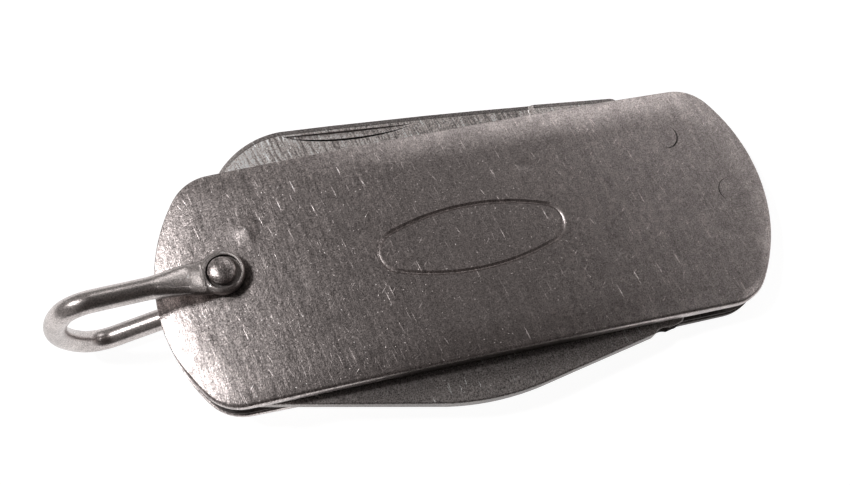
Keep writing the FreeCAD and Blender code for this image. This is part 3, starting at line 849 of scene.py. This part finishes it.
class Steel:
    """A worn steel: short names for the shader nodes that all the steels share."""

    def __init__(self, name, base, roughness):
        self.material = bpy.data.materials.new(name)
        self.material.use_nodes = True
        self.tree = self.material.node_tree
        self.shader = self.tree.nodes["Principled BSDF"]
        self.shader.inputs["Metallic"].default_value = 1.0
        self.base = base
        self.color = base
        self.roughness = roughness
        self.dimensions = "2D"
        self.height = 0.0
        self.tone = 1.0
        coordinates = self.tree.nodes.new("ShaderNodeTexCoord")
        self.place = coordinates.outputs["Object"]

    def put(self, value, socket):
        """Links or sets a value in this steel's tree."""
        put(self.tree, value, socket)

    def math(self, operation, *values):
        """A math node in this steel's tree."""
        return math_node(self.tree, operation, *values)

    def stored(self, name):
        """A value that the mesh stores under this name."""
        node = self.tree.nodes.new("ShaderNodeAttribute")
        node.attribute_name = name
        return node.outputs["Fac"]

    def stretched(self, per_mm, turn_degrees=0.0, shift=0.0):
        """Object coordinates turned about Z, then scaled to so many units a millimetre."""
        turned = self.tree.nodes.new("ShaderNodeVectorRotate")
        turned.rotation_type = "Z_AXIS"
        self.put(self.place, turned.inputs["Vector"])
        turned.inputs["Angle"].default_value = math.radians(turn_degrees)
        scaled = self.tree.nodes.new("ShaderNodeMapping")
        self.put(turned.outputs[0], scaled.inputs["Vector"])
        scaled.inputs["Scale"].default_value = [n / MM for n in per_mm]
        scaled.inputs["Location"].default_value = (shift, shift * 0.7, shift * 0.3)
        return scaled.outputs[0]

    def noise(self, vector, detail, roughness):
        """Soft noise about a half."""
        node = self.tree.nodes.new("ShaderNodeTexNoise")
        self.put(vector, node.inputs["Vector"])
        node.inputs["Scale"].default_value = 1.0
        node.inputs["Detail"].default_value = detail
        node.inputs["Roughness"].default_value = roughness
        return node.outputs["Fac"]

    def marks(self, vector, reach, share):
        """Thin marks, one to a cell, kept in this share of the cells."""
        node = self.tree.nodes.new("ShaderNodeTexVoronoi")
        node.voronoi_dimensions = self.dimensions
        self.put(vector, node.inputs["Vector"])
        node.inputs["Scale"].default_value = 1.0
        node.inputs["Randomness"].default_value = 1.0
        mark = self.between(node.outputs["Distance"], reach, 0.3 * reach)
        chance = self.tree.nodes.new("ShaderNodeSeparateColor")
        self.put(node.outputs["Color"], chance.inputs[0])
        kept = self.math("LESS_THAN", chance.outputs[0], share)
        weight = self.math("MULTIPLY_ADD", chance.outputs[1], 0.8, 0.2)
        return self.math("MULTIPLY", mark, self.math("MULTIPLY", kept, weight))

    def between(self, value, low, high):
        """0 at low and 1 at high, smoothly."""
        node = self.tree.nodes.new("ShaderNodeMapRange")
        node.interpolation_type = "SMOOTHSTEP"
        self.put(value, node.inputs["Value"])
        node.inputs["From Min"].default_value = low
        node.inputs["From Max"].default_value = high
        return node.outputs["Result"]

    def mixed(self, share, first, second):
        """A colour between two colours."""
        node = self.tree.nodes.new("ShaderNodeMix")
        node.data_type = "RGBA"
        self.put(share, node.inputs["Factor"])
        self.put(first, node.inputs["A"])
        self.put(second, node.inputs["B"])
        return node.outputs["Result"]

    def rougher(self, value, amount):
        """Adds to the roughness."""
        scaled = self.math("MULTIPLY", value, amount)
        self.roughness = self.math("ADD", scaled, self.roughness)

    def tinted(self, share, color):
        """Turns this share of the colour to another."""
        self.color = self.mixed(share, self.color, color)

    def raised(self, value, amount):
        """Adds to the height, in millimetres."""
        scaled = self.math("MULTIPLY", value, amount)
        self.height = self.math("ADD", scaled, self.height)

    def toned(self, value, amount):
        """Makes the tone lighter or darker by a value about zero."""
        factor = self.math("MULTIPLY_ADD", value, amount, 1.0)
        self.tone = self.math("MULTIPLY", factor, self.tone)

    def brushed(self, per_mm, turn_degrees, strength, rise=0.006, share=1.0):
        """Fine lines or grain left by the polishing wheel, as strong as the share says."""
        self.lined(self.noise(self.stretched(per_mm, turn_degrees), 3.0, 0.65), strength, rise, share)

    def lined(self, lines, strength, rise, share):
        """Tone and height that follow a pattern of lines."""
        line = self.math("MULTIPLY", self.math("SUBTRACT", lines, 0.5), share)
        self.toned(line, 2.0 * strength)
        self.raised(line, rise)

    def along(self, start, end):
        """0 at one place along the handle and 1 at the other, smoothly."""
        apart = self.tree.nodes.new("ShaderNodeSeparateXYZ")
        self.put(self.place, apart.inputs[0])
        return self.between(apart.outputs["X"], start * MM, end * MM)

    def scuffed(self):
        """How scuffed the steel is along the handle: most towards the bail."""
        return self.math("MULTIPLY_ADD", self.along(4, -20), 0.3, 0.7)

    def swung(self, middle, strength):
        """Scuffs round a pin, left by what turns on it."""
        moved = self.tree.nodes.new("ShaderNodeVectorMath")
        moved.operation = "SUBTRACT"
        self.put(self.place, moved.inputs[0])
        moved.inputs[1].default_value = [middle[0] * MM, middle[1] * MM, 0]
        apart = self.tree.nodes.new("ShaderNodeSeparateXYZ")
        self.put(moved.outputs[0], apart.inputs[0])
        turn = self.math("ARCTAN2", apart.outputs["Y"], apart.outputs["X"])
        away = self.math("POWER", apart.outputs["X"], 2.0)
        across = self.math("POWER", apart.outputs["Y"], 2.0)
        radius = self.math("DIVIDE", self.math("SQRT", self.math("ADD", away, across)), MM)
        polar = self.tree.nodes.new("ShaderNodeCombineXYZ")
        self.put(self.math("MULTIPLY", radius, 5.0), polar.inputs["X"])
        self.put(self.math("MULTIPLY", turn, 7.0), polar.inputs["Y"])
        lines = self.noise(polar.outputs[0], 2.0, 0.6)
        near = self.between(radius, 15.0, 5.0)
        self.lined(lines, strength, 0.004, near)

    def scratched_with_highlight(self, per_mm, turn_degrees, reach, share, strength, shift=0.0, where=1.0):
        """Short scratches, all at about this turn: real grooves and roughness, and a painted highlight
        that lightens their colour.
        """
        mark = self.marks(self.stretched(per_mm, turn_degrees, shift), reach, share)
        mark = self.math("MULTIPLY", mark, where)
        self.rougher(mark, 0.1 * strength)
        self.raised(mark, -0.006 * strength)
        # Painted highlight: the colour is lightened in the scratches
        self.tinted(self.math("MULTIPLY", mark, strength), shade(self.base, 2.1))

    def smudged(self, per_mm, strength, shift=0.0):
        """Uneven dull and dark patches from handling."""
        patch = self.noise(self.stretched((per_mm, per_mm, per_mm), 0, shift), 4.0, 0.6)
        patch = self.math("SUBTRACT", patch, 0.5)
        self.rougher(patch, 0.15 * strength)
        self.toned(patch, -strength)

    def rubbed(self, strength):
        """Edges worn bright, where the mesh says so."""
        worn = self.between(self.stored("wear"), 0.2, 0.9)
        self.tinted(self.math("MULTIPLY", worn, 0.5 * strength), shade(self.base, 1.5))
        self.rougher(worn, 0.06 * strength)

    def shadowed(self, strength):
        """Painted shade and shadow: black where the mesh says so."""
        black = self.math("MULTIPLY", self.stored("painted_shade"), strength)
        self.tinted(black, PAINTED_SHADE_TONE)
        self.rougher(black, 0.2)

    def dulled_and_shaded(self, strength):
        """Dull faces darker and rougher, partly as painted shade, and the nick and notch walls darkest,
        also when seen along them: painted shade in those recesses.
        """
        dull = self.stored("dull")
        self.tinted(self.math("MULTIPLY", dull, 0.95 * strength), shade(self.base, 0.2))
        self.rougher(dull, 0.05 * strength)
        recess_shade = self.between(dull, 0.85, 0.95)
        self.tinted(recess_shade, shade(self.base, 0.1))
        glancing = self.mixed(recess_shade, (1, 1, 1, 1), shade(self.base, 0.2))
        self.put(glancing, self.shader.inputs["Specular Tint"])

    def edged(self, radius, strength):
        """Edges worn bright."""
        round_edge = self.tree.nodes.new("ShaderNodeBevel")
        round_edge.samples = 4
        round_edge.inputs["Radius"].default_value = radius * MM
        surface = self.tree.nodes.new("ShaderNodeNewGeometry")
        dot = self.tree.nodes.new("ShaderNodeVectorMath")
        dot.operation = "DOT_PRODUCT"
        self.put(round_edge.outputs[0], dot.inputs[0])
        self.put(surface.outputs["Normal"], dot.inputs[1])
        worn = self.between(dot.outputs["Value"], 0.99, 0.85)
        self.tinted(self.math("MULTIPLY", worn, 0.6 * strength), shade(self.base, 1.5))

    def shaded_where_close(self, reach, strength):
        """Painted shade where surfaces meet: darker and rougher where other surfaces are close."""
        hidden = self.tree.nodes.new("ShaderNodeAmbientOcclusion")
        hidden.samples = 6
        hidden.inputs["Distance"].default_value = reach * MM
        close_shade = self.between(hidden.outputs["AO"], 0.75, 0.3)
        self.tinted(self.math("MULTIPLY", close_shade, strength), PAINTED_SHADE_TONE)
        self.rougher(close_shade, 0.25 * strength)

    def done(self):
        """Joins the layers to the shader."""
        bump = self.tree.nodes.new("ShaderNodeBump")
        bump.inputs["Strength"].default_value = 1.0
        bump.inputs["Distance"].default_value = MM
        self.put(self.height, bump.inputs["Height"])
        self.put(bump.outputs[0], self.shader.inputs["Normal"])
        lit = self.tree.nodes.new("ShaderNodeVectorMath")
        lit.operation = "SCALE"
        self.put(self.color, lit.inputs[0])
        self.put(self.tone, lit.inputs["Scale"])
        self.put(lit.outputs[0], self.shader.inputs["Base Color"])
        self.put(self.roughness, self.shader.inputs["Roughness"])
        return self.material


def scale_steel(name):
    """Polished sheet: fine grain, scuffs round the bail's pin, scratches with a painted highlight,
    painted shade where surfaces meet, and painted shade along the lower wall and beside the bail's eye.
    """
    made = Steel(name, (0.42, 0.375, 0.365, 1), 0.33)
    scuff = made.scuffed()
    made.smudged(0.06, 0.6)
    made.smudged(0.3, 0.6, 3.0)
    made.smudged(1.1, 0.6, 6.0)
    made.brushed((8, 7, 8), 0, 1.8, 0.012, scuff)
    made.brushed((3, 2.5, 3), 0, 0.6, 0.010, scuff)
    made.brushed((4, 0.5, 4), -8, 0.8, 0.008, made.along(2, -20))
    made.brushed((1.6, 0.12, 1.6), -8, 0.4, 0.0, scuff)
    made.swung(bail_pin, 0.7)
    made.scratched_with_highlight((3.0, 0.20, 0.1), -9, 0.14, 0.5, 0.5, 0.0, scuff)
    made.scratched_with_highlight((2.6, 0.15, 0.1), -17, 0.13, 0.4, 0.6, 5.0, scuff)
    made.scratched_with_highlight((3.0, 0.28, 0.1), 12, 0.14, 0.4, 0.45, 9.0, scuff)
    made.scratched_with_highlight((2.6, 0.18, 0.1), 62, 0.13, 0.35, 0.5, 13.0, scuff)
    made.scratched_with_highlight((1.5, 0.09, 0.1), -14, 0.08, 0.5, 1.1, 17.0)
    made.scratched_with_highlight((1.4, 0.12, 0.1), -26, 0.07, 0.3, 1.0, 25.0)
    made.scratched_with_highlight((1.4, 0.16, 0.1), 40, 0.07, 0.3, 1.0, 29.0)
    made.scratched_with_highlight((2.2, 1.80, 0.1), 0, 0.12, 0.3, 1.2, 21.0)
    made.rubbed(0.3)
    made.shaded_where_close(1.2, 0.7)
    made.shadowed(0.9)
    return made.done()


def blade_steel():
    """Ground steel: lines of the grind across it, a painted highlight towards the tip, scratches with a
    painted highlight, dull faces with painted shade on walls and in recesses, and painted shade where
    surfaces meet.
    """
    made = Steel("blade_steel", (0.50, 0.455, 0.44, 1), 0.42)
    made.smudged(0.12, 0.6)
    # Painted highlight: the blade is lightened by up to 60% towards its tip end
    made.toned(made.along(-13, -22), 0.6)
    # Faces without dull marks or painted shade, the open faces of the grind, are lighter and carry its
    # lines
    ground = made.math("MULTIPLY_ADD", made.stored("dull"), -1.5, 1.0)
    ground = made.math("MAXIMUM", ground, 0.0)
    made.toned(ground, 0.35)
    made.brushed((8, 7, 8), 0, 2.0, 0.012)
    made.brushed((4, 0.22, 4), -16, 1.8, 0.014, ground)
    made.scratched_with_highlight((2.0, 0.20, 0.1), -20, 0.13, 0.5, 1.3)
    made.scratched_with_highlight((1.8, 0.24, 0.1), -6, 0.12, 0.4, 1.2, 4.0)
    made.scratched_with_highlight((2.2, 1.60, 0.1), 0, 0.13, 0.3, 1.2, 8.0)
    made.dulled_and_shaded(1.0)
    made.edged(0.12, 0.8)
    made.shaded_where_close(0.3, 0.6)
    return made.done()


def bail_steel():
    """Drawn wire, scuffed all round, its scratches with a painted highlight, and painted shade where
    surfaces meet.
    """
    made = Steel("bail_steel", (0.52, 0.475, 0.46, 1), 0.30)
    made.dimensions = "3D"
    made.smudged(0.4, 0.8)
    made.brushed((7, 8, 8), 5, 1.2, 0.010)
    made.scratched_with_highlight((0.5, 2.0, 2.0), 5, 0.16, 0.5, 0.8)
    made.scratched_with_highlight((2.0, 0.6, 1.4), 20, 0.16, 0.5, 0.8, 4.0)
    made.shaded_where_close(0.5, 0.9)
    return made.done()


def dull_shaded_steel(name, base):
    """Plain dull steel for what lies between the scales, with painted shade where surfaces meet."""
    made = Steel(name, base, 0.32)
    made.smudged(0.4, 0.8)
    made.brushed((5, 0.6, 5), 0, 0.8)
    made.scratched_with_highlight((2.4, 0.2, 0.2), 15, 0.13, 0.5, 0.6)
    made.shaded_where_close(0.6, 0.95)
    return made.done()


SLOT_MATERIALS = {
    "steel_scale": scale_steel("scale_steel"),
    "steel_blade": blade_steel(),
    "steel_bail": bail_steel(),
    "steel_pin": scale_steel("pin_steel"),
    # The liner's and the spring's colours are given darker than the other steels: painted shade for
    # parts that sit between the scales
    "steel_liner": dull_shaded_steel("liner_steel", (0.20, 0.18, 0.175, 1)),
    "steel_spring": dull_shaded_steel("spring_steel", (0.26, 0.235, 0.225, 1)),
}


def dress(piece, slot):
    """Gives a piece its slot's material."""
    piece.data.materials.clear()
    piece.data.materials.append(SLOT_MATERIALS[slot])


for piece in [front_scale, back_scale, bail, pen_blade, lower_blade, spring] + pins:
    dress(piece, piece["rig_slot"])
for part in frame["record"]["subparts"]:
    dress(frame["nodes"][part["node"]], part["material_slot"])


# Floor, tilted so that the bail's end and the back scale rest on it,
# and level beyond the handle's end, so that an opened blade stays above it

FLOOR_HALF = 1500.0
FLOOR_BEND = HALF_LENGTH + 3.0
BAIL_REST = 5.4
PAPER_TONE = (0.25, 0.25, 0.25, 1)
PAPER_GLOW = 0.93


def make_floor():
    """The floor, which touches the bail's low point and the arched back of the knife."""
    bail_low = box_mm("bail")[0]
    start = bail_low[0] + BAIL_REST
    reach = LAND_HALF - start
    lift = -2 * reach + math.sqrt(4 * reach ** 2 - 8 * ARCH_RADIUS * bail_low[2])
    slope = lift / 2 / ARCH_RADIUS
    mesh = bpy.data.meshes.new("floor")
    corners = []
    for x in (-FLOOR_HALF, FLOOR_BEND, FLOOR_HALF):
        height = bail_low[2] + slope * (min(x, FLOOR_BEND) - start)
        for y in (-FLOOR_HALF, FLOOR_HALF):
            corners.append((x * MM, y * MM, height * MM))
    mesh.from_pydata(corners, [], [(0, 2, 3, 1), (2, 4, 5, 3)])
    floor = bpy.data.objects.new("floor", mesh)
    bpy.context.scene.collection.objects.link(floor)
    return floor


def floor_material():
    """White paper: partly its own light for what sees it, and partly lit, so a soft shadow stays."""
    material = bpy.data.materials.new("white_paper")
    material.use_nodes = True
    tree = material.node_tree
    tree.nodes.clear()
    output = tree.nodes.new("ShaderNodeOutputMaterial")
    lit = tree.nodes.new("ShaderNodeBsdfDiffuse")
    own = tree.nodes.new("ShaderNodeEmission")
    both = tree.nodes.new("ShaderNodeAddShader")
    path = tree.nodes.new("ShaderNodeLightPath").outputs
    seen = math_node(tree, "MAXIMUM", path["Is Camera Ray"], path["Is Glossy Ray"])
    seen = math_node(tree, "MAXIMUM", seen, path["Is Transmission Ray"])
    put(tree, math_node(tree, "MULTIPLY", seen, PAPER_GLOW), own.inputs["Strength"])
    lit.inputs["Color"].default_value = PAPER_TONE
    tree.links.new(lit.outputs[0], both.inputs[0])
    tree.links.new(own.outputs[0], both.inputs[1])
    tree.links.new(both.outputs[0], output.inputs["Surface"])
    return material


floor = make_floor()
floor.data.materials.append(floor_material())


# Studio light: a pale room with a dim patch overhead, and soft boxes

DIM_MIDDLE = (0.15, -0.50)
DIM_HALF = (0.46, 0.92)
DIM_EDGE = (0.76, 1.3)
DIM = (0.045, 0.0385, 0.0365, 1)
PALE = (0.26, 0.25, 0.245, 1)
LAMP_DISTANCE = 700
CARD_Y = -52
CARD_CORNERS = ((-90, -12), (90, 6), (90, 22), (-90, 6))
CARD_TONE = (0.03, 0.026, 0.025, 1)


def make_world():
    """A pale room whose roof and near side are dim, as the handle's face mirrors them."""
    world = bpy.data.worlds.new("studio")
    bpy.context.scene.world = world
    world.use_nodes = True
    tree = world.node_tree
    sky = tree.nodes.new("ShaderNodeTexCoord")
    parts = tree.nodes.new("ShaderNodeSeparateXYZ")
    tree.links.new(sky.outputs["Generated"], parts.inputs[0])
    reach = []
    for axis, middle, half in zip("XY", DIM_MIDDLE, DIM_HALF):
        away = math_node(tree, "ABSOLUTE", math_node(tree, "SUBTRACT", parts.outputs[axis], middle))
        reach.append(math_node(tree, "DIVIDE", away, half))
    spread = tree.nodes.new("ShaderNodeMapRange")
    spread.interpolation_type = "SMOOTHSTEP"
    spread.inputs["From Min"].default_value = DIM_EDGE[0]
    spread.inputs["From Max"].default_value = DIM_EDGE[1]
    tree.links.new(math_node(tree, "MAXIMUM", *reach), spread.inputs["Value"])
    below = math_node(tree, "LESS_THAN", parts.outputs["Z"], 0.0)
    mix = tree.nodes.new("ShaderNodeMix")
    mix.data_type = "RGBA"
    mix.inputs["A"].default_value = DIM
    mix.inputs["B"].default_value = PALE
    tree.links.new(math_node(tree, "MAXIMUM", spread.outputs["Result"], below), mix.inputs["Factor"])
    tree.links.new(mix.outputs["Result"], tree.nodes["Background"].inputs["Color"])


def soft_box(name, direction, width, height, power):
    """A soft box that looks at the knife from this direction, its size in millimetres."""
    light = bpy.data.lights.new(name, "AREA")
    light.shape = "RECTANGLE"
    light.size = width * MM
    light.size_y = height * MM
    light.energy = power
    lamp = bpy.data.objects.new(name, light)
    bpy.context.scene.collection.objects.link(lamp)
    away = Vector(direction).normalized()
    lamp.location = away * LAMP_DISTANCE * MM
    lamp.rotation_euler = away.to_track_quat("Z", "Y").to_euler()


def front_card():
    """A low dark card in front of the knife, for the metal alone to mirror."""
    mesh = bpy.data.meshes.new("front_card")
    corners = [(x * MM, CARD_Y * MM, z * MM) for x, z in CARD_CORNERS]
    mesh.from_pydata(corners, [], [(0, 1, 2, 3)])
    card = bpy.data.objects.new("front_card", mesh)
    bpy.context.scene.collection.objects.link(card)
    material = bpy.data.materials.new("dark_card")
    material.use_nodes = True
    shader = material.node_tree.nodes["Principled BSDF"]
    shader.inputs["Base Color"].default_value = CARD_TONE
    shader.inputs["Roughness"].default_value = 0.9
    mesh.materials.append(material)
    card.visible_camera = False
    card.visible_diffuse = False
    card.visible_shadow = False


make_world()
front_card()
soft_box("key_box", (-0.55, 0.17, 0.8), 90, 90, 2.0)
soft_box("side_box", (0.64, -0.08, 0.76), 80, 80, 0.12)
soft_box("corner_box", (0.6, 0.4, 0.69), 80, 80, 0.07)
soft_box("right_box", (0.88, 0.3, 0.38), 200, 160, 0.3)
soft_box("back_box", (0.35, 0.66, 0.66), 300, 200, 0.4)


# Camera at the photograph's place: fitted place, turn and lens

CAMERA_PLACE = Vector((-20.779, -33.656, 111.891))
CAMERA_TURN = Vector((-0.32467, 0.11392, 0.21341))
CAMERA_LENS = 50.38

camera_data = bpy.data.cameras.new("camera")
camera_data.lens = CAMERA_LENS
camera_data.sensor_width = 36.0
camera_data.clip_start = 0.005
camera = bpy.data.objects.new("camera", camera_data)
bpy.context.scene.collection.objects.link(camera)
turn = Matrix.Rotation(CAMERA_TURN.length, 4, CAMERA_TURN.normalized())
camera.matrix_world = Matrix.Translation(CAMERA_PLACE * MM) @ turn.transposed()
bpy.context.scene.camera = camera
bpy.context.scene.view_settings.view_transform = "Standard"
